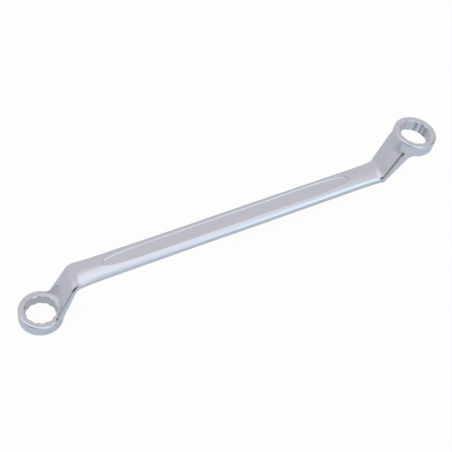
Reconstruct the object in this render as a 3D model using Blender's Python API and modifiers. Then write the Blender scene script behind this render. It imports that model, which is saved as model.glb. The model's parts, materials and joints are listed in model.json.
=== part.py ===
"""A double-ended ring spanner: one drop forging, with a twelve-point ring at each end.

The handle lies along X with the forging's parting plane at Z = 0. The large ring is at -X and
below the handle, the small ring at +X and above it, and both rings tip the same way. The
finished spanner is then turned about Y into the pose in which it rests on a bench: on the rim
of the large ring and on the underside of the other bend. Lengths are in metres.
"""

import math
from typing import NamedTuple

import bmesh
import bpy
from mathutils import Matrix, Vector

# Handle
HANDLE_THICKNESS = 0.0074
HANDLE_WIDTH_BY_LARGE = 0.0157
HANDLE_WIDTH_BY_SMALL = 0.0138
SHOULDER_LENGTH = 0.0120

# Handle's sunk panels, one in each broad face
PANEL_WIDTH = 0.0082
PANEL_TIP_WIDTH = 0.0030
PANEL_TAPER_LENGTH = 0.0230
PANEL_WEB = 0.0056

# Rings
RING_TILT = math.radians(15.0)
RING_EDGE_WIDTH = 0.0021
RING_EDGE_HEIGHT = 0.0012
BORE_LEAD_IN = 0.0003
SPOT_FACE_CLEARANCE = 0.0003
FACE_STOCK = 0.00006
CUT_OVERRUN = 0.0030

# Large end
LARGE_FLATS = 0.0170
LARGE_DIAMETER = 0.0260
LARGE_HEIGHT = 0.0084
LARGE_REACH = 0.1155
LARGE_OFFSET = 0.0246
LARGE_BORE_TURN = math.radians(4.6)
LARGE_INNER_BEND_SETBACK = 0.0251
LARGE_INNER_BEND_RADIUS = 0.0036
LARGE_OUTER_BEND_SETBACK = 0.0249
LARGE_OUTER_BEND_RADIUS = 0.0092
LARGE_INNER_ROOT_INSET = 0.0014
LARGE_OUTER_ROOT = 0.0048
LARGE_NECK_WIDTH = 0.0186
LARGE_ROOT_WIDTH = 0.0220
LARGE_TAIL_WIDTH = 0.0182
LARGE_PANEL_SETBACK = 0.0435

# Small end
SMALL_FLATS = 0.0160
SMALL_DIAMETER = 0.0244
SMALL_HEIGHT = 0.0079
SMALL_REACH = 0.1155
SMALL_OFFSET = 0.0218
SMALL_BORE_TURN = math.radians(2.5)
SMALL_INNER_BEND_SETBACK = 0.0210
SMALL_INNER_BEND_RADIUS = 0.0029
SMALL_OUTER_BEND_SETBACK = 0.0208
SMALL_OUTER_BEND_RADIUS = 0.0012
SMALL_INNER_ROOT_INSET = 0.0011
SMALL_OUTER_ROOT = 0.0009
SMALL_NECK_WIDTH = 0.0168
SMALL_ROOT_WIDTH = 0.0191
SMALL_TAIL_WIDTH = 0.0168
SMALL_PANEL_SETBACK = 0.0395

# Shape of the bar's cross-section, as shares of its half width and half thickness
CORNER_WIDTH_SHARE = 0.965
CORNER_HEIGHT_SHARE = 0.74
CORNER_ROUND_WIDTH_SHARE = 0.12
CORNER_ROUND_HEIGHT_SHARE = 0.17
CROWN_PLACE_SHARES = (0.6, 0.4, 0.2)

# How much of the widening from handle to neck the shoulder before each bend takes up
SHOULDER_SHARE = 0.40

# How far the root of each bore point reaches from its inner corner to a sharp hexagon's corner
BORE_ROOT_SHARE = 0.65

# Counts of straight pieces
BORE_POINTS = 12
TURNED_STEPS = 64
EDGE_STEPS = 4
HANDLE_STEPS = 3
SHOULDER_STEPS = 4
BEND_STEPS = 6
NECK_STEPS = 7
TAIL_STEPS = 3
CORNER_STEPS = 3
TAPER_STEPS = 6
TILT_ROUNDS = 12

STEEL_COLOUR = (0.60, 0.60, 0.62, 1.0)
STEEL_ROUGHNESS = 0.32


class End(NamedTuple):
    """One end of the spanner, in a side view with the ring out at +X and up at +Z."""

    name: str
    flats: float
    diameter: float
    height: float
    reach: float
    offset: float
    bore_turn: float
    handle_width: float
    inner_bend: float
    inner_radius: float
    outer_bend: float
    outer_radius: float
    inner_root_inset: float
    outer_root: float
    neck_width: float
    root_width: float
    tail_width: float
    panel_setback: float
    turn: Matrix

    @property
    def radius(self):
        return self.diameter / 2

    @property
    def land_radius(self):
        """Outer edge of the flat land that is machined on each face of the ring."""
        return self.radius - RING_EDGE_WIDTH

    @property
    def inner_corner_radius(self):
        """Distance from the ring's axis to the corners where the bore's two hexagons cross."""
        return self.flats / 2 / math.cos(math.pi / BORE_POINTS)

    @property
    def bore_root_radius(self):
        sharp = self.flats / 2 / math.cos(2 * math.pi / BORE_POINTS)
        return self.inner_corner_radius + (sharp - self.inner_corner_radius) * BORE_ROOT_SHARE

    @property
    def ring_frame(self):
        """Placement of the ring: its axis along Z, and its working face, clear of the neck, up."""
        centre = Matrix.Translation((self.reach, 0, self.offset))
        return self.turn @ centre @ Matrix.Rotation(RING_TILT, 4, "Y")

    @property
    def tool_frame(self):
        """The ring's frame turned half a step, so that tool edges fall between the ring's own."""
        return self.ring_frame @ Matrix.Rotation(math.pi / TURNED_STEPS, 4, "Z")


LARGE = End(
    "large",
    LARGE_FLATS,
    LARGE_DIAMETER,
    LARGE_HEIGHT,
    LARGE_REACH,
    LARGE_OFFSET,
    LARGE_BORE_TURN,
    HANDLE_WIDTH_BY_LARGE,
    LARGE_INNER_BEND_SETBACK,
    LARGE_INNER_BEND_RADIUS,
    LARGE_OUTER_BEND_SETBACK,
    LARGE_OUTER_BEND_RADIUS,
    LARGE_INNER_ROOT_INSET,
    LARGE_OUTER_ROOT,
    LARGE_NECK_WIDTH,
    LARGE_ROOT_WIDTH,
    LARGE_TAIL_WIDTH,
    LARGE_PANEL_SETBACK,
    Matrix.Rotation(math.pi, 4, "Y"),
)
SMALL = End(
    "small",
    SMALL_FLATS,
    SMALL_DIAMETER,
    SMALL_HEIGHT,
    SMALL_REACH,
    SMALL_OFFSET,
    SMALL_BORE_TURN,
    HANDLE_WIDTH_BY_SMALL,
    SMALL_INNER_BEND_SETBACK,
    SMALL_INNER_BEND_RADIUS,
    SMALL_OUTER_BEND_SETBACK,
    SMALL_OUTER_BEND_RADIUS,
    SMALL_INNER_ROOT_INSET,
    SMALL_OUTER_ROOT,
    SMALL_NECK_WIDTH,
    SMALL_ROOT_WIDTH,
    SMALL_TAIL_WIDTH,
    SMALL_PANEL_SETBACK,
    Matrix.Identity(4),
)


def clear_scene():
    for obj in list(bpy.data.objects):
        bpy.data.objects.remove(obj)


def new_collection(name):
    collection = bpy.data.collections.new(name)
    bpy.context.scene.collection.children.link(collection)
    return collection


def add_object(name, data, collection, placement):
    obj = bpy.data.objects.new(name, data)
    obj.matrix_world = placement
    collection.objects.link(obj)
    return obj


def hide_helper(obj):
    obj.hide_render = True
    obj.display_type = "WIRE"
    return obj


def steel():
    material = bpy.data.materials.new("satin_chrome")
    material.use_nodes = True
    shader = material.node_tree.nodes["Principled BSDF"]
    shader.inputs["Base Color"].default_value = STEEL_COLOUR
    shader.inputs["Metallic"].default_value = 1.0
    shader.inputs["Roughness"].default_value = STEEL_ROUGHNESS
    return material


def unit_section():
    """Outline of the bar's section in a square from -1 to 1, anticlockwise from +Y.

    Each side leans in from the parting plane by the draft, each broad face is crowned, and
    a rounded corner joins them.
    """

    def on_side(height):
        return Vector((1 - (1 - CORNER_WIDTH_SHARE) * height / CORNER_HEIGHT_SHARE, height))

    def on_crown(place):
        drop = (1 - CORNER_HEIGHT_SHARE) * (place / CORNER_WIDTH_SHARE) ** 2
        return Vector((place, 1 - drop))

    low = on_side(CORNER_HEIGHT_SHARE - CORNER_ROUND_HEIGHT_SHARE)
    high = on_crown(CORNER_WIDTH_SHARE - CORNER_ROUND_WIDTH_SHARE)
    corner = Vector((CORNER_WIDTH_SHARE, CORNER_HEIGHT_SHARE))
    quarter = [Vector((1, 0))]
    for step in range(CORNER_STEPS + 1):
        along = step / CORNER_STEPS
        quarter.append(low.lerp(corner, along).lerp(corner.lerp(high, along), along))
    quarter += [on_crown(place) for place in CROWN_PLACE_SHARES]
    half = quarter + [Vector((0, 1))] + [Vector((-p.x, p.y)) for p in quarter[:0:-1]]
    return half + [-point for point in half]


def bent_line(start, corner, end, radius):
    """Points of a straight run up to its shoulder, an arc round the corner, a neck and its tail."""
    back = (start - corner).normalized()
    on = (end - corner).normalized()
    half_angle = back.angle(on) / 2
    centre = corner + (back + on).normalized() * radius / math.sin(half_angle)
    first = corner + back * radius / math.tan(half_angle)
    last = corner + on * radius / math.tan(half_angle)
    shoulder = first + back * SHOULDER_LENGTH
    points = [start.lerp(shoulder, step / HANDLE_STEPS) for step in range(HANDLE_STEPS)]
    points += [shoulder.lerp(first, step / SHOULDER_STEPS) for step in range(SHOULDER_STEPS)]
    for step in range(BEND_STEPS + 1):
        way = (first - centre).slerp(last - centre, step / BEND_STEPS).normalized()
        points.append(centre + way * radius)
    steps = NECK_STEPS + TAIL_STEPS
    points += [last.lerp(end, (step + 1) / steps) for step in range(steps)]
    return points


def side_lines(end):
    """Inner and outer lines of the bar in the end's side view, from mid-handle to the ring's middle.

    Past its bend each line is aimed at its root, a point on the plane of the ring's near face,
    and both stop level with the ring's centre.
    """
    axis = Vector((math.sin(RING_TILT), math.cos(RING_TILT)))
    outward = Vector((math.cos(RING_TILT), -math.sin(RING_TILT)))
    centre = Vector((end.reach, end.offset))
    near_face = centre - axis * end.height / 2
    face = HANDLE_THICKNESS / 2
    inner_corner = Vector((end.reach - end.inner_bend, face))
    outer_corner = Vector((end.reach - end.outer_bend, -face))
    inner_root = near_face - outward * (end.radius - end.inner_root_inset)
    outer_root = near_face - outward * end.outer_root
    inner_way = (inner_root - inner_corner).normalized()
    outer_way = (outer_root - outer_corner).normalized()
    along = (inner_way + outer_way).normalized()
    lines = []
    for side, corner, way, radius in (
        (face, inner_corner, inner_way, end.inner_radius),
        (-face, outer_corner, outer_way, end.outer_radius),
    ):
        last = corner + way * (centre - corner).dot(along) / way.dot(along)
        lines.append(bent_line(Vector((0, side)), corner, last, radius))
    return lines


def widths(end, inner):
    """Width of the bar at each point of its inner line.

    The handle tapers evenly and swells at its shoulder, and the neck widens from the bend to its
    root. The tail inside the ring narrows, so that its sides run into the ring's wall.
    """
    middle = (HANDLE_WIDTH_BY_LARGE + HANDLE_WIDTH_BY_SMALL) / 2
    flare = end.neck_width - end.handle_width
    bend_start = HANDLE_STEPS + SHOULDER_STEPS
    bend_end = bend_start + BEND_STEPS
    root = bend_end + NECK_STEPS
    found = []
    for index, point in enumerate(inner):
        if index <= bend_start:
            taper = (end.handle_width - middle) * point.x / inner[bend_start].x
            risen = max(0, index - HANDLE_STEPS) / SHOULDER_STEPS
            found.append(middle + taper + flare * SHOULDER_SHARE * risen**2)
        elif index <= bend_end:
            along = (index - bend_start) / BEND_STEPS
            found.append(end.neck_width - flare * (1 - SHOULDER_SHARE) * (1 - along))
        elif index <= root:
            along = (index - bend_end) / NECK_STEPS
            found.append(end.neck_width + (end.root_width - end.neck_width) * along)
        else:
            along = (index - root) / TAIL_STEPS
            found.append(end.root_width + (end.tail_width - end.root_width) * along)
    return found


def sections_of(end):
    """Sections of half the bar, from mid-handle to the ring's middle, each a list of points."""
    inner, outer = side_lines(end)
    outline = unit_section()
    up = 1 if end is SMALL else -1
    found = []
    for near, far, width in zip(inner, outer, widths(end, inner)):
        middle = (near + far) / 2
        reach = (near - far) / 2 * up
        section = []
        for point in outline:
            side = middle + reach * point.y
            section.append(end.turn @ Vector((side.x, point.x * width / 2, side.y)))
        found.append(section)
    return found


def loft(name, sections):
    """Closed mesh through a row of unlike sections with as many points each."""
    shape = bmesh.new()
    rings = [[shape.verts.new(point) for point in section] for section in sections]
    for ring, following in zip(rings, rings[1:]):
        for index, vertex in enumerate(ring):
            after = (index + 1) % len(ring)
            shape.faces.new((vertex, ring[after], following[after], following[index]))
    shape.faces.new(rings[0])
    shape.faces.new(rings[-1])
    bmesh.ops.recalc_face_normals(shape, faces=shape.faces)
    mesh = bpy.data.meshes.new(name)
    shape.to_mesh(mesh)
    shape.free()
    return mesh


def bar_mesh():
    """Handle and both necks, from the middle of one ring to the middle of the other."""
    large_half = sections_of(LARGE)
    small_half = sections_of(SMALL)
    return loft("bar", large_half[:0:-1] + small_half)


def turned(name, profile, collection, placement):
    """Solid turned about Z from (radius, height) points that run down its outer side."""
    mesh = bpy.data.meshes.new(name)
    edges = [(index, index + 1) for index in range(len(profile) - 1)]
    mesh.from_pydata([(radius, 0, height) for radius, height in profile], edges, [])
    obj = hide_helper(add_object(name, mesh, collection, placement))
    screw = obj.modifiers.new("turn", "SCREW")
    screw.steps = TURNED_STEPS
    screw.render_steps = TURNED_STEPS
    screw.use_merge_vertices = True
    screw.merge_threshold = HANDLE_THICKNESS / 1000
    return obj


def ring_blank(end, collection):
    """The ring before it is bored: flat faces, rounded edges and a straight wall."""
    face = end.height / 2
    upper = []
    for step in range(EDGE_STEPS + 1):
        angle = math.pi / 2 * step / EDGE_STEPS
        out = end.land_radius + RING_EDGE_WIDTH * math.sin(angle)
        upper.append((out, face - RING_EDGE_HEIGHT * (1 - math.cos(angle))))
    lower = [(out, -height) for out, height in reversed(upper)]
    profile = [(0, face)] + upper + lower + [(0, -face)]
    return turned(f"{end.name}_ring_blank", profile, collection, end.ring_frame)


def cylinder(name, radius, low, high, collection, placement):
    """Upright cylinder between two heights of the placement's Z axis."""
    mesh = bpy.data.meshes.new(name)
    shape = bmesh.new()
    bmesh.ops.create_cone(
        shape,
        cap_ends=True,
        segments=TURNED_STEPS,
        radius1=radius,
        radius2=radius,
        depth=high - low,
        matrix=Matrix.Translation((0, 0, (low + high) / 2)),
    )
    shape.to_mesh(mesh)
    shape.free()
    return hide_helper(add_object(name, mesh, collection, placement))


def neck_cutters(end, collection):
    """The tool that clears the neck over the ring's near face, and the one past its working face.

    Both stop a hair inside the ring's own faces, which the ring blank then restores.
    """
    level = end.height / 2 - FACE_STOCK
    down_to = -(end.offset + HANDLE_THICKNESS) / math.cos(RING_TILT)
    up_to = 2 * end.offset
    tool = end.land_radius + SPOT_FACE_CLEARANCE
    beyond = end.radius + CUT_OVERRUN
    near = cylinder(f"{end.name}_near_face", tool, down_to, -level, collection, end.tool_frame)
    far = cylinder(f"{end.name}_far_face", beyond, level, up_to, collection, end.tool_frame)
    return near, far


def flat_cutter(name, outline, half_height, collection, placement):
    """Prism on a closed outline of (x, y) points, reaching half_height up and down."""
    curve = bpy.data.curves.new(name, "CURVE")
    curve.dimensions = "2D"
    curve.fill_mode = "BOTH"
    curve.extrude = half_height
    spline = curve.splines.new("POLY")
    spline.points.add(len(outline) - 1)
    spline.use_cyclic_u = True
    for point, place in zip(spline.points, outline):
        point.co = (place[0], place[1], 0, 1)
    drawn = add_object(name, curve, collection, placement)
    graph = bpy.context.evaluated_depsgraph_get()
    mesh = bpy.data.meshes.new_from_object(drawn.evaluated_get(graph))
    shape = bmesh.new()
    shape.from_mesh(mesh)
    bmesh.ops.remove_doubles(shape, verts=shape.verts, dist=HANDLE_THICKNESS / 1000)
    bmesh.ops.recalc_face_normals(shape, faces=shape.faces)
    shape.to_mesh(mesh)
    shape.free()
    bpy.data.objects.remove(drawn)
    bpy.data.curves.remove(curve)
    return hide_helper(add_object(name, mesh, collection, placement))


def bore_cutter(end, collection):
    """Twelve-point bore: two hexagons a half turn of a point apart, with rounded roots."""
    pitch = 2 * math.pi / BORE_POINTS
    root = end.bore_root_radius
    spread = pitch - math.acos(end.flats / 2 / root)
    outline = []
    for index in range(BORE_POINTS):
        point = end.bore_turn + index * pitch
        places = [(end.inner_corner_radius, point - pitch / 2)]
        places += [(root, point + share * spread) for share in (-1, 0, 1)]
        outline += [(r * math.cos(angle), r * math.sin(angle)) for r, angle in places]
    half_height = end.height / 2 + CUT_OVERRUN
    return flat_cutter(f"{end.name}_bore", outline, half_height, collection, end.ring_frame)


def lead_in_cutter(end, collection):
    """Cones that open both mouths of the bore, joined by a stem that is slimmer than the bore."""
    face = end.height / 2
    mouth = end.bore_root_radius + BORE_LEAD_IN
    stem = end.inner_corner_radius - BORE_LEAD_IN
    top = face + BORE_LEAD_IN
    depth = mouth - stem
    profile = [
        (0, top),
        (mouth + BORE_LEAD_IN, top),
        (stem, face - depth),
        (stem, -face + depth),
        (mouth + BORE_LEAD_IN, -top),
        (0, -top),
    ]
    return turned(f"{end.name}_lead_in", profile, collection, end.tool_frame)


def panel_cutter(side, collection):
    """Boat-shaped block that sinks the panel in one broad face: side is 1 for the top, -1 below."""
    wide = PANEL_WIDTH / 2
    tip = PANEL_TIP_WIDTH / 2
    outline = []
    for end, out in ((SMALL, 1), (LARGE, -1)):
        far = end.reach - end.panel_setback
        edge = []
        for step in range(TAPER_STEPS + 1):
            angle = math.pi / 2 * step / TAPER_STEPS
            along = far - PANEL_TAPER_LENGTH * (1 - math.cos(angle))
            edge.append((out * along, out * (tip + (wide - tip) * math.sin(angle))))
        outline += [(x, -y) for x, y in reversed(edge)] + edge
    half_height = HANDLE_THICKNESS / 2
    placement = Matrix.Translation((0, 0, side * (PANEL_WEB / 2 + half_height)))
    name = "top_panel" if side > 0 else "under_panel"
    return flat_cutter(name, outline, half_height, collection, placement)


def combine(obj, operation, others):
    for other in others:
        modifier = obj.modifiers.new(other.name, "BOOLEAN")
        modifier.operation = operation
        modifier.solver = "EXACT"
        modifier.object = other


def world_points(obj):
    graph = bpy.context.evaluated_depsgraph_get()
    evaluated = obj.evaluated_get(graph)
    points = [evaluated.matrix_world @ v.co for v in evaluated.to_mesh().vertices]
    evaluated.to_mesh_clear()
    return points


def resting_tilt(points):
    """Turn about Y that brings the lowest point at each side of the middle to one height."""
    tilt = 0.0
    for _ in range(TILT_ROUNDS):
        turn = Matrix.Rotation(tilt, 3, "Y")
        turned_points = [turn @ point for point in points]
        left = min((p for p in turned_points if p.x < 0), key=lambda p: p.z)
        right = min((p for p in turned_points if p.x > 0), key=lambda p: p.z)
        tilt += math.atan2(right.z - left.z, right.x - left.x)
    return tilt


def set_down(pose, obj):
    """Turn and move the pose so that the spanner rests at Z = 0, centred over the origin."""
    pose.rotation_euler.y = resting_tilt(world_points(obj))
    bpy.context.view_layer.update()
    points = world_points(obj)
    along = [point.x for point in points]
    pose.location.x = -(min(along) + max(along)) / 2
    pose.location.z = -min(point.z for point in points)
    bpy.context.view_layer.update()


def main():
    clear_scene()
    parts = new_collection("ring_spanner")
    cutters = new_collection("cutters")
    pose = add_object("resting_pose", None, parts, Matrix.Identity(4))

    forging = add_object("spanner_forging", bar_mesh(), parts, Matrix.Identity(4))
    forging.data.materials.append(steel())
    combine(forging, "DIFFERENCE", [panel_cutter(side, cutters) for side in (1, -1)])
    for end in (LARGE, SMALL):
        combine(forging, "DIFFERENCE", neck_cutters(end, cutters))
    for end in (LARGE, SMALL):
        combine(forging, "UNION", [ring_blank(end, cutters)])
    for end in (LARGE, SMALL):
        bore = bore_cutter(end, cutters)
        combine(bore, "UNION", [lead_in_cutter(end, cutters)])
        combine(forging, "DIFFERENCE", [bore])
    forging.data.shade_smooth()
    forging.data.set_sharp_from_angle(angle=math.radians(30))

    forging.parent = pose
    for cutter in cutters.objects:
        cutter.parent = pose
    set_down(pose, forging)


main()
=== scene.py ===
import json
import math

import bmesh
import bpy
from mathutils import Matrix, Vector


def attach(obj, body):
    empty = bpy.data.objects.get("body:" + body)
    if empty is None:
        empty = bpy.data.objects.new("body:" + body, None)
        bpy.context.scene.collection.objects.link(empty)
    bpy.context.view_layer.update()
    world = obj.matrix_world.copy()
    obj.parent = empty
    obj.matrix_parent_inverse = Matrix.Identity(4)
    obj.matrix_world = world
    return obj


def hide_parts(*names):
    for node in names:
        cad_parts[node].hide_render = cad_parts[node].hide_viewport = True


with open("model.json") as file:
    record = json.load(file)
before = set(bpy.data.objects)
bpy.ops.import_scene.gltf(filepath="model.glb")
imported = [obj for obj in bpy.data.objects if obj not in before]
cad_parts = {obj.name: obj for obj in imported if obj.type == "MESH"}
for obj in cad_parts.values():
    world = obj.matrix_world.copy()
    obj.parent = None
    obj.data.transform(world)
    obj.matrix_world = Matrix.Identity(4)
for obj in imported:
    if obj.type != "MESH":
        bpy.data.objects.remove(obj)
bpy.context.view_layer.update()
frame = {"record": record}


# Camera and resting pose. The photographer looked down at the spanner from in front with a long
# lens. The spanner is modelled level, with its handle along X, and its forged panel's floor,
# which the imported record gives, says how it is turned and lifted to rest on the floor.
camera_data = bpy.data.cameras.new("camera")
camera_data.lens = 68.5
camera_data.sensor_width = 36.0
camera = bpy.data.objects.new("camera", camera_data)
camera.location = (-0.00215, -0.26807, 0.42698)
camera.rotation_euler = [math.radians(angle) for angle in (30.905, 12.292, -20.206)]
bpy.context.scene.collection.objects.link(camera)
bpy.context.scene.camera = camera

panel_web = 0.0056
mounts = {mount["name"]: mount for mount in frame["record"]["mounts"]}
panel_floor = mounts["handle_panel_top"]
panel_up = Vector(panel_floor["axis"])
handle_middle = Vector(panel_floor["pos_m"]) - panel_up * panel_web / 2
resting_tilt = math.atan2(panel_up.x, panel_up.z)
resting_pose = Matrix.Translation(handle_middle) @ Matrix.Rotation(resting_tilt, 4, "Y")


# Handle. The bar was drop forged between two dies that meet at its mid height, so its sides lean
# in from that parting plane, its broad faces are crowned and its corners are rounded. It is a
# little wider towards the large ring.
handle_thickness = 0.0074
width_by_large = 0.0157
width_by_small = 0.0138
corner_width_share = 0.965
corner_height_share = 0.60
corner_round = 0.0014
corner_steps = 6
crown_shares = (-0.75, -0.5, -0.25, 0.0, 0.25, 0.5, 0.75)
tiny = 1e-6


def pick(test, kind="VERT"):
    """Selects, in edit mode, the vertices, edges or faces that pass the test, and no others."""
    bpy.ops.mesh.select_mode(type=kind)
    bpy.ops.mesh.select_all(action="DESELECT")
    mesh = bpy.context.object.data
    shape = bmesh.from_edit_mesh(mesh)
    for item in {"VERT": shape.verts, "EDGE": shape.edges, "FACE": shape.faces}[kind]:
        if test(item):
            item.select_set(True)
    shape.select_flush(True)
    bmesh.update_edit_mesh(mesh)


def bisect(place, normal):
    """Cuts a loop of edges through the whole mesh in a plane."""
    bpy.ops.mesh.select_all(action="SELECT")
    bpy.ops.mesh.bisect(plane_co=place, plane_no=normal, threshold=tiny)


middle_width = (width_by_large + width_by_small) / 2
corner_y = middle_width / 2 * corner_width_share
corner_z = handle_thickness / 2 * corner_height_share
block_half = 0.020
bpy.ops.object.select_all(action="DESELECT")
bpy.ops.mesh.primitive_cube_add(size=1, scale=(2 * block_half, 2 * corner_y, 2 * corner_z))
bpy.ops.object.transform_apply(location=False, rotation=False, scale=True)
spanner = bpy.context.object
spanner.name = "spanner"
spanner.data.name = "spanner"
bpy.ops.object.mode_set(mode="EDIT")
bisect((0, 0, 0), (0, 0, 1))
pick(lambda v: abs(v.co.z) < tiny)
bpy.ops.transform.resize(value=(1, 1 / corner_width_share, 1), center_override=(0, 0, 0))
for share in crown_shares:
    bisect((0, share * middle_width / 2, 0), (0, 1, 0))
for share in crown_shares:
    across = share * middle_width / 2
    rise = handle_thickness / 2 - corner_z
    rise *= 1 - (share / corner_width_share) ** 2
    for side in (1, -1):
        pick(lambda v: abs(v.co.y - across) < tiny and v.co.z * side > corner_z / 2)
        bpy.ops.transform.translate(value=(0, 0, side * rise))
pick(
    lambda e: all(abs(abs(v.co.y) - corner_y) < tiny and abs(v.co.z) > corner_z / 2 for v in e.verts),
    "EDGE",
)
bpy.ops.mesh.bevel(offset=corner_round, segments=corner_steps)


# Necks. The forged bar's two ends were set over in a press: each neck swells at its shoulder,
# bends away from the handle, thins and spreads, and runs into its ring. The large ring ends up
# below the handle, the small one above it, and both rings are tipped the same way.
ring_tilt = math.radians(15.0)
ends = {
    "small": {
        "turn": 0.0,
        "diameter": 0.0244,
        "height": 0.0079,
        "reach": 0.1155,
        "offset": 0.0218,
        "handle_width": width_by_small,
        "inner_bend": (0.0210, 0.0029),
        "outer_bend": (0.0208, 0.0012),
        "inner_root": 0.0111,
        "outer_root": 0.0009,
        "neck_width": 0.0168,
        "root_width": 0.0191,
        "tail_width": 0.0168,
    },
    "large": {
        "turn": math.pi,
        "diameter": 0.0260,
        "height": 0.0084,
        "reach": 0.1155,
        "offset": 0.0246,
        "handle_width": width_by_large,
        "inner_bend": (0.0251, 0.0036),
        "outer_bend": (0.0249, 0.0092),
        "inner_root": 0.0116,
        "outer_root": 0.0048,
        "neck_width": 0.0186,
        "root_width": 0.0220,
        "tail_width": 0.0182,
    },
}
shoulder_length = 0.0120
shoulder_share = 0.40
shoulder_steps = 8
bend_steps = 10
neck_steps = 12
tail_steps = 5


def bent_line(start, corner, way, last, radius):
    """Shoulder on the handle's line, an arc round the corner, then the neck's line and its tail."""
    back = (start - corner).normalized()
    half_angle = back.angle(way) / 2
    centre = corner + (back + way).normalized() * radius / math.sin(half_angle)
    first = corner + back * radius / math.tan(half_angle)
    leave = corner + way * radius / math.tan(half_angle)
    points = []
    for step in range(shoulder_steps):
        points.append(first + back * shoulder_length * (1 - step / shoulder_steps))
    for step in range(bend_steps + 1):
        spoke = (first - centre).slerp(leave - centre, step / bend_steps).normalized()
        points.append(centre + spoke * radius)
    straight_steps = neck_steps + tail_steps
    points += [leave.lerp(last, (step + 1) / straight_steps) for step in range(straight_steps)]
    return points


def stations(end):
    """Place, lean, thickness and width of the neck's sections, from its shoulder to the ring."""
    axis = Vector((math.sin(ring_tilt), 0, math.cos(ring_tilt)))
    outward = Vector((math.cos(ring_tilt), 0, -math.sin(ring_tilt)))
    centre = Vector((end["reach"], 0, end["offset"]))
    near_face = centre - axis * end["height"] / 2
    lines = []
    corners = []
    ways = []
    for bend, side, root in (("inner_bend", 1, "inner_root"), ("outer_bend", -1, "outer_root")):
        corner = Vector((end["reach"] - end[bend][0], 0, side * handle_thickness / 2))
        corners.append(corner)
        ways.append((near_face - outward * end[root] - corner).normalized())
    along = (ways[0] + ways[1]).normalized()
    for corner, way, bend in zip(corners, ways, ("inner_bend", "outer_bend")):
        last = corner + way * (centre - corner).dot(along) / way.dot(along)
        lines.append(bent_line(Vector((0, 0, corner.z)), corner, way, last, end[bend][1]))
    found = []
    flare = end["neck_width"] - end["handle_width"]
    bend_end = shoulder_steps + bend_steps
    for index, (inner, outer) in enumerate(zip(*lines)):
        if index <= shoulder_steps:
            taper = (end["handle_width"] - middle_width) * inner.x / lines[0][shoulder_steps].x
            risen = index / shoulder_steps
            width = middle_width + taper + flare * shoulder_share * risen**2
        elif index <= bend_end:
            left = (bend_end - index) / bend_steps
            width = end["neck_width"] - flare * (1 - shoulder_share) * left
        elif index <= bend_end + neck_steps:
            spread = (index - bend_end) / neck_steps
            width = end["neck_width"] + (end["root_width"] - end["neck_width"]) * spread
        else:
            left = (len(lines[0]) - 1 - index) / tail_steps
            width = end["tail_width"] + (end["root_width"] - end["tail_width"]) * left
        through = inner - outer
        lean = math.atan2(through.x, through.z)
        found.append(((inner + outer) / 2, lean, through.length, width))
    return found


def lean_by(angle, place):
    """Turns the selection about Y; with no window the operator turns the other way."""
    bpy.ops.transform.rotate(value=-angle, orient_axis="Y", center_override=place)


for end in ends.values():
    way_out = 1 if end["turn"] == 0 else -1
    pick(lambda f: all(v.co.x * way_out > block_half - tiny for v in f.verts), "FACE")
    place = Vector((way_out * block_half, 0, 0))
    lean, thickness, width = 0.0, handle_thickness, middle_width
    for next_place, next_lean, next_thickness, next_width in stations(end):
        next_place = next_place * way_out
        bpy.ops.mesh.extrude_region_move()
        lean_by(-lean, place)
        growth = (1, next_width / width, next_thickness / thickness)
        bpy.ops.transform.resize(value=growth, center_override=place)
        lean_by(next_lean, place)
        bpy.ops.transform.translate(value=next_place - place)
        place, lean, thickness, width = next_place, next_lean, next_thickness, next_width
bpy.ops.object.mode_set(mode="OBJECT")


# Rings. Each ring is forged as a solid boss with rounded edges on the end of its neck, a hair
# higher than the finished ring, because its faces are machined afterwards.
edge_width = 0.0015
edge_height = 0.0010
edge_steps = 8
ring_sides = 192
stock_inset = 1.5 * edge_width
face_stock = 0.00025


def choose(body):
    """Makes the body the only selected object."""
    bpy.ops.object.select_all(action="DESELECT")
    bpy.context.view_layer.objects.active = body
    body.select_set(True)


def join(tool, operation, body=spanner):
    """Cuts or joins the body with the tool, which is used up."""
    modifier = body.modifiers.new("tool", "BOOLEAN")
    modifier.operation = operation
    modifier.solver = "MANIFOLD"
    modifier.object = tool
    choose(body)
    bpy.ops.object.modifier_apply(modifier=modifier.name)
    bpy.data.objects.remove(tool)


def ring_frame(end):
    """Middle of a ring, with its axis along Z and its working face up."""
    centre = Matrix.Translation((end["reach"], 0, end["offset"]))
    turn = Matrix.Rotation(end["turn"], 4, "Y")
    return turn @ centre @ Matrix.Rotation(ring_tilt, 4, "Y")


def place_at(tool, placement):
    """Moves the tool's mesh to the placement, with its object left at the origin."""
    tool.matrix_world = placement
    bpy.ops.object.transform_apply(location=True, rotation=True, scale=True)


def round_blank(profile, sides):
    """Solid with a round plan: a cylinder whose upper end goes on through (radius, height) steps."""
    (radius, low), (_, height) = profile[:2]
    bpy.ops.object.select_all(action="DESELECT")
    middle = (low + height) / 2
    bpy.ops.mesh.primitive_cylinder_add(
        vertices=sides, radius=radius, depth=height - low, location=(0, 0, middle)
    )
    bpy.ops.object.transform_apply(location=True, rotation=False, scale=False)
    blank = bpy.context.object
    bpy.ops.object.mode_set(mode="EDIT")
    pick(lambda f: f.normal.z > 0.5, "FACE")
    for next_radius, next_height in profile[2:]:
        rise = next_height - height
        bpy.ops.mesh.extrude_region_move(TRANSFORM_OT_translate={"value": (0, 0, rise)})
        growth = next_radius / radius
        place = (0, 0, next_height)
        bpy.ops.transform.resize(value=(growth, growth, 1), center_override=place)
        radius, height = next_radius, next_height
    bpy.ops.object.mode_set(mode="OBJECT")
    return blank


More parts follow.
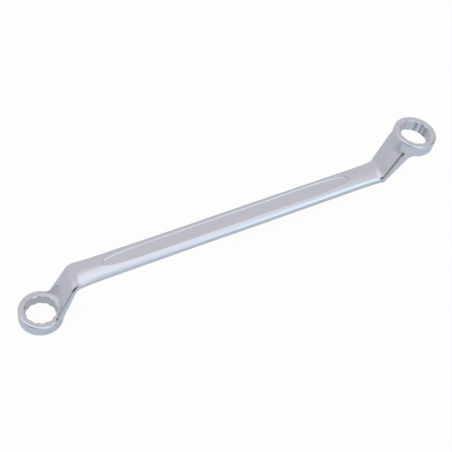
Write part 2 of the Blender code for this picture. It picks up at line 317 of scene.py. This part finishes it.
for end in ends.values():
    radius = end["diameter"] / 2
    face = end["height"] / 2
    profile = [(radius, 0), (radius, face - edge_height)]
    for step in range(1, edge_steps + 1):
        angle = math.pi / 2 * step / edge_steps
        inwards = edge_width * (1 - math.cos(angle))
        profile.append((radius - inwards, face - edge_height * (1 - math.sin(angle))))
    profile.append((radius - stock_inset, face + face_stock))
    boss = round_blank(profile, ring_sides)
    bpy.ops.object.mode_set(mode="EDIT")
    pick(lambda f: all(abs(v.co.z) < tiny for v in f.verts), "FACE")
    bpy.ops.mesh.delete(type="FACE")
    bpy.ops.object.mode_set(mode="OBJECT")
    mirror = boss.modifiers.new("mirror", "MIRROR")
    mirror.use_axis = (False, False, True)
    mirror.merge_threshold = tiny
    bpy.ops.object.modifier_apply(modifier=mirror.name)
    place_at(boss, ring_frame(end))
    join(boss, "UNION")


# Fillets. Dies leave no sharp inner corner, so where a neck meets its ring the metal runs over in
# a hollow curve. It is what a ball leaves unfilled when it rolls round the inside of the corner.
fillet_radii = {"small": 0.0045, "large": 0.0028}
fillet_grain = 0.00036
fillet_tuck = 0.00014
fillet_reach = 0.0045
smoothing_share = 0.5
smoothing_passes = 30


def swell(body, distance):
    """Grows the body evenly on a fine grid, or shrinks it."""
    modifier = body.modifiers.new("grid", "REMESH")
    modifier.mode = "VOXEL"
    modifier.voxel_size = fillet_grain
    bpy.ops.object.modifier_apply(modifier=modifier.name)
    modifier = body.modifiers.new("swell", "DISPLACE")
    modifier.mid_level = 0
    modifier.strength = distance
    bpy.ops.object.modifier_apply(modifier=modifier.name)


for name, end in ends.items():
    radius = end["diameter"] / 2
    ball = fillet_radii[name]
    choose(spanner)
    bpy.ops.object.duplicate()
    lump = bpy.context.object
    reach = radius + fillet_reach + ball
    around = round_blank([(reach, -reach), (reach, reach)], ring_sides)
    place_at(around, ring_frame(end))
    join(around, "INTERSECT", lump)
    swell(lump, ball)
    swell(lump, -ball - fillet_tuck)
    bpy.ops.object.mode_set(mode="EDIT")
    bpy.ops.mesh.select_all(action="SELECT")
    bpy.ops.mesh.vertices_smooth(factor=smoothing_share, repeat=smoothing_passes)
    bpy.ops.object.mode_set(mode="OBJECT")
    reach = radius + fillet_reach
    around = round_blank([(reach, -reach), (reach, reach)], ring_sides)
    place_at(around, ring_frame(end))
    join(around, "INTERSECT", lump)
    join(lump, "UNION")


# Faces. Both faces of each ring are turned with a cutter that just clears the neck, and its nose
# is a flat cone, so that the face is dished towards the bore and leads a hexagon in.
spot_face_clearance = 0.0003
dish_slope = math.tan(math.radians(12.0))
nose_share = 0.5
cutter_half_heights = 6
upside_down = Matrix.Rotation(math.pi, 4, "X")
half_step = Matrix.Rotation(math.pi / ring_sides, 4, "Z")

for end in ends.values():
    radius = end["diameter"] / 2
    face = end["height"] / 2
    land = radius - edge_width
    nose = radius * nose_share
    for placement in (ring_frame(end), ring_frame(end) @ upside_down):
        tool_radius = land + spot_face_clearance
        far_end = cutter_half_heights * face
        cutter = round_blank([(tool_radius, face), (tool_radius, far_end)], ring_sides)
        bpy.ops.object.mode_set(mode="EDIT")
        pick(lambda f: f.normal.z < -0.5, "FACE")
        bpy.ops.mesh.extrude_region_move()
        growth = land / tool_radius
        bpy.ops.transform.resize(value=(growth, growth, 1), center_override=(0, 0, face))
        sink = -(land - nose) * dish_slope
        bpy.ops.mesh.extrude_region_move(TRANSFORM_OT_translate={"value": (0, 0, sink)})
        growth = nose / land
        bpy.ops.transform.resize(value=(growth, growth, 1), center_override=(0, 0, face + sink))
        bpy.ops.object.mode_set(mode="OBJECT")
        place_at(cutter, placement @ half_step)
        join(cutter, "DIFFERENCE")


# Bores. A broach cuts each twelve-point bore, which is two hexagons a twelfth of a turn apart
# with their points cut back, and a countersink opens both mouths.
bores = {"small": (0.0160, 2.5), "large": (0.0170, 4.6)}
root_share = 0.65
lead_in = 0.0001
cone_overlap = 4 * lead_in
overrun = 0.0030

for name, (flats, turn) in bores.items():
    end = ends[name]
    face = end["height"] / 2
    inner_corner = flats / 2 / math.cos(math.pi / 12)
    sharp_point = flats / 2 / math.cos(math.pi / 6)
    root = inner_corner + (sharp_point - inner_corner) * root_share
    placement = ring_frame(end) @ Matrix.Rotation(math.radians(turn), 4, "Z")
    long_way = face + overrun
    broach = round_blank([(sharp_point, -long_way), (sharp_point, long_way)], 6)
    second = round_blank([(sharp_point, -long_way), (sharp_point, long_way)], 6)
    place_at(second, Matrix.Rotation(math.pi / 6, 4, "Z"))
    join(second, "UNION", broach)
    points = round_blank([(root, -2 * long_way), (root, 2 * long_way)], ring_sides)
    join(points, "INTERSECT", broach)
    place_at(broach, placement)
    join(broach, "DIFFERENCE")
    mouth = root + lead_in
    for way in (placement, placement @ upside_down):
        level = face - (end["diameter"] / 2 - edge_width - mouth) * dish_slope
        tip = level - cone_overlap
        wide = (mouth + cone_overlap, level + cone_overlap)
        narrow = mouth - cone_overlap
        cone = round_blank([(narrow, tip - tiny), (narrow, tip), wide], ring_sides)
        place_at(cone, way)
        join(cone, "DIFFERENCE")


# Forged panels. A long boat-shaped pad on each die leaves a sunk panel in each broad face of the
# handle, with a flat floor, sloping walls and blunt ends.
panel_width = 0.0082
panel_tip = 0.0030
panel_taper = 0.0230
panel_wall_slope = 0.0005
panel_wall_steps = 3
floor_margin = panel_wall_slope / 8
panel_ends = {"small": 0.0760, "large": 0.0720}
taper_steps = 16
sharp_from = math.radians(32)

for side in (1, -1):
    straight = {name: far - panel_taper for name, far in panel_ends.items()}
    centre = (straight["small"] - straight["large"]) / 2
    half_length = (straight["small"] + straight["large"]) / 2
    depth = handle_thickness / 2
    level = side * (panel_web / 2 + depth / 2)
    bpy.ops.object.select_all(action="DESELECT")
    bpy.ops.mesh.primitive_cube_add(
        size=1, location=(centre, 0, level), scale=(2 * half_length, panel_width, depth)
    )
    bpy.ops.object.transform_apply(location=True, rotation=False, scale=True)
    tool = bpy.context.object
    bpy.ops.object.mode_set(mode="EDIT")
    for way_out in (1, -1):
        face_x = centre + way_out * half_length
        pick(lambda f: all(abs(v.co.x - face_x) < tiny for v in f.verts), "FACE")
        width = panel_width
        place = face_x
        for step in range(1, taper_steps + 1):
            angle = math.pi / 2 * step / taper_steps
            next_width = panel_tip + (panel_width - panel_tip) * math.cos(angle)
            next_place = face_x + way_out * panel_taper * math.sin(angle)
            bpy.ops.mesh.extrude_region_move(
                TRANSFORM_OT_translate={"value": (next_place - place, 0, 0)}
            )
            bpy.ops.transform.resize(
                value=(1, next_width / width, 1), center_override=(next_place, 0, level)
            )
            width = next_width
            place = next_place
    floor_z = side * panel_web / 2
    pick(lambda f: all(abs(v.co.z - floor_z) < tiny for v in f.verts), "FACE")
    bpy.ops.mesh.region_to_loop()
    bpy.ops.mesh.bevel(offset=panel_wall_slope, segments=panel_wall_steps)
    pick(lambda f: all(abs(v.co.z - floor_z) < tiny for v in f.verts), "FACE")
    bpy.ops.mesh.inset(thickness=floor_margin)
    bpy.ops.object.mode_set(mode="OBJECT")
    join(tool, "DIFFERENCE")

choose(spanner)
bpy.ops.object.shade_smooth_by_angle(angle=sharp_from)
place_at(spanner, resting_pose)


# Finish. The steel is tumbled, then plated all over with satin chrome, which is left with a fine
# even grain, slow waves from the dies, and patches that handling has rubbed a little smoother.
chrome_colour = (0.70, 0.70, 0.71, 1)
chrome_roughness = 0.235
rubbed_swing = 0.08
grain_scale = 2600.0
grain_height = 4e-6
wave_scale = 70.0
wave_height = 6e-5
rubbed_scale = 220.0


class Signal:
    """A socket of a material. Arithmetic on it adds Math nodes to the material."""

    def __init__(self, finish, socket):
        self.finish = finish
        self.socket = socket

    def combine(self, operation, *others):
        return self.finish.node("ShaderNodeMath", {"operation": operation}, others)

    def __add__(self, other):
        return self.combine("ADD", self, other)

    def __sub__(self, other):
        return self.combine("SUBTRACT", self, other)

    def __rsub__(self, other):
        return self.combine("SUBTRACT", other, self)

    def __mul__(self, other):
        return self.combine("MULTIPLY", self, other)

    __radd__ = __add__
    __rmul__ = __mul__


class Finish:
    """The nodes of a material, or of the room's light, under construction."""

    def __init__(self, owner):
        self.owner = owner
        owner.use_nodes = True
        self.tree = owner.node_tree
        self.tree.nodes.clear()

    def node(self, kind, settings=None, sockets=(), output=0):
        """Adds a node. Settings are set first; sockets maps names or places to values or signals."""
        added = self.tree.nodes.new(kind)
        for key, value in (settings or {}).items():
            setattr(added, key, value)
        named = sockets.items() if isinstance(sockets, dict) else enumerate(sockets)
        for key, value in named:
            if isinstance(value, Signal):
                self.tree.links.new(value.socket, added.inputs[key])
            else:
                added.inputs[key].default_value = value
        return Signal(self, added.outputs[output]) if added.outputs else None


chrome = Finish(bpy.data.materials.new("satin_chrome"))
where = chrome.node("ShaderNodeTexCoord", output="Object")
grain, waves, rubbed = [
    chrome.node("ShaderNodeTexNoise", {}, {"Vector": where, "Scale": scale, "Detail": detail})
    for scale, detail in ((grain_scale, 2.0), (wave_scale, 1.0), (rubbed_scale, 3.0))
]
height = grain * grain_height + waves * wave_height
bump = chrome.node("ShaderNodeBump", {}, {"Height": height, "Distance": 1.0, "Strength": 1.0})
plated = chrome.node(
    "ShaderNodeBsdfPrincipled",
    {},
    {
        "Base Color": chrome_colour,
        "Metallic": 1.0,
        "Roughness": chrome_roughness + rubbed_swing * (rubbed - 0.5),
        "Normal": bump,
    },
)
chrome.node("ShaderNodeOutputMaterial", {}, {"Surface": plated})
spanner.data.materials.clear()
spanner.data.materials.append(chrome.owner)

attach(spanner, "root")
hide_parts("spanner_forging")


# Studio. A white floor in a pale room that is bright overhead, cool at the windows in front and
# dark in two low corners, which the forging's corners mirror as dark lines. The floor is white to
# the eye; for the metal's reflections it glows with a painted reflection, cool in front of the
# spanner and grey behind it.
white = (1, 1, 1, 1)
paper_colour = (0.85, 0.85, 0.85, 1)
floor_size = 8
# Painted reflection colours: the floor glows cool in front and grey behind only for rays that the
# metal reflects.
painted_reflection_in_front = (0.66, 0.81, 0.96, 1)
painted_reflection_behind = (0.60, 0.61, 0.72, 1)
front_starts = 0.005
front_full = -0.015
seen_share = 0.95
painted_reflection_share = 0.35
room_colour = (0.72, 0.71, 0.77, 1)
soft_edge = 9
# Each area has its azimuth, elevation and half width in degrees, and its colour.
room_areas = {
    "overhead": (90, 87, 19, (1.12, 1.14, 1.30, 1)),
    "left wall": (180, 35, 18, (0.93, 0.95, 1.03, 1)),
    "window": (300, 50, 15, (1.1, 1.34, 1.58, 1)),
    "low window": (292, 6, 17, (1.34, 1.66, 1.96, 1)),
    "low corner": (220, 6, 35, (0.08, 0.08, 0.08, 1)),
    "right corner": (0, 5, 12, (0.24, 0.24, 0.24, 1)),
}


def blend(finish, share, first, second):
    """Colour that goes from the first to the second as the share rises."""
    # A colour Mix node has its factor in socket 0, its colours in 6 and 7 and its result in 2.
    sockets = {0: share, 6: first, 7: second}
    return finish.node("ShaderNodeMix", {"data_type": "RGBA"}, sockets, output=2)


def rise(finish, value, start, end):
    """Soft step from 0 at the start to 1 at the end."""
    sockets = {"Value": value, "From Min": start, "From Max": end}
    return finish.node("ShaderNodeMapRange", {"interpolation_type": "SMOOTHSTEP"}, sockets)


floor_finish = Finish(bpy.data.materials.new("floor"))
seen, glossy, clear = [
    floor_finish.node("ShaderNodeLightPath", output=ray)
    for ray in ("Is Camera Ray", "Is Glossy Ray", "Is Transmission Ray")
]
where = floor_finish.node("ShaderNodeTexCoord", output="Object")
distance = floor_finish.node("ShaderNodeSeparateXYZ", {}, (where,), output="Y")
front = rise(floor_finish, distance, front_starts, front_full)
# Painted reflection: the floor's glow as the metal sees it, cool in front of the spanner and grey
# behind it.
painted_reflection = blend(floor_finish, front, painted_reflection_behind, painted_reflection_in_front)
glow_colour = blend(floor_finish, seen, painted_reflection, white)
glow = floor_finish.node("ShaderNodeEmission", {}, {"Color": glow_colour, "Strength": 1.0})
paper = floor_finish.node("ShaderNodeBsdfDiffuse", {}, {"Color": paper_colour})
# The camera sees mostly the white glow. Reflections see a part of the painted reflection glow, and
# the rest is the lit paper.
share = seen_share * seen + painted_reflection_share * (glossy + clear)
mixed = floor_finish.node("ShaderNodeMixShader", {}, (share, paper, glow))
floor_finish.node("ShaderNodeOutputMaterial", {}, {"Surface": mixed})
bpy.ops.object.select_all(action="DESELECT")
bpy.ops.mesh.primitive_plane_add(size=floor_size)
floor = bpy.context.object
floor.name = "floor"
floor.data.materials.append(floor_finish.owner)

room = Finish(bpy.data.worlds.new("studio"))
way = room.node("ShaderNodeTexCoord", output="Generated")
light = room_colour
for azimuth, elevation, half_width, colour in room_areas.values():
    flat = math.cos(math.radians(elevation))
    turned = math.radians(azimuth)
    towards = (flat * math.cos(turned), flat * math.sin(turned), math.sin(math.radians(elevation)))
    nearness = room.node(
        "ShaderNodeVectorMath", {"operation": "DOT_PRODUCT"}, (way, towards), output="Value"
    )
    outer, inner = [math.cos(math.radians(half_width + soft_edge * side)) for side in (1, -1)]
    light = blend(room, rise(room, nearness, outer, inner), light, colour)
background = room.node("ShaderNodeBackground", {}, {"Color": light, "Strength": 1.0})
room.node("ShaderNodeOutputWorld", {}, {"Surface": background})
bpy.context.scene.world = room.owner
bpy.context.scene.view_settings.view_transform = "Standard"
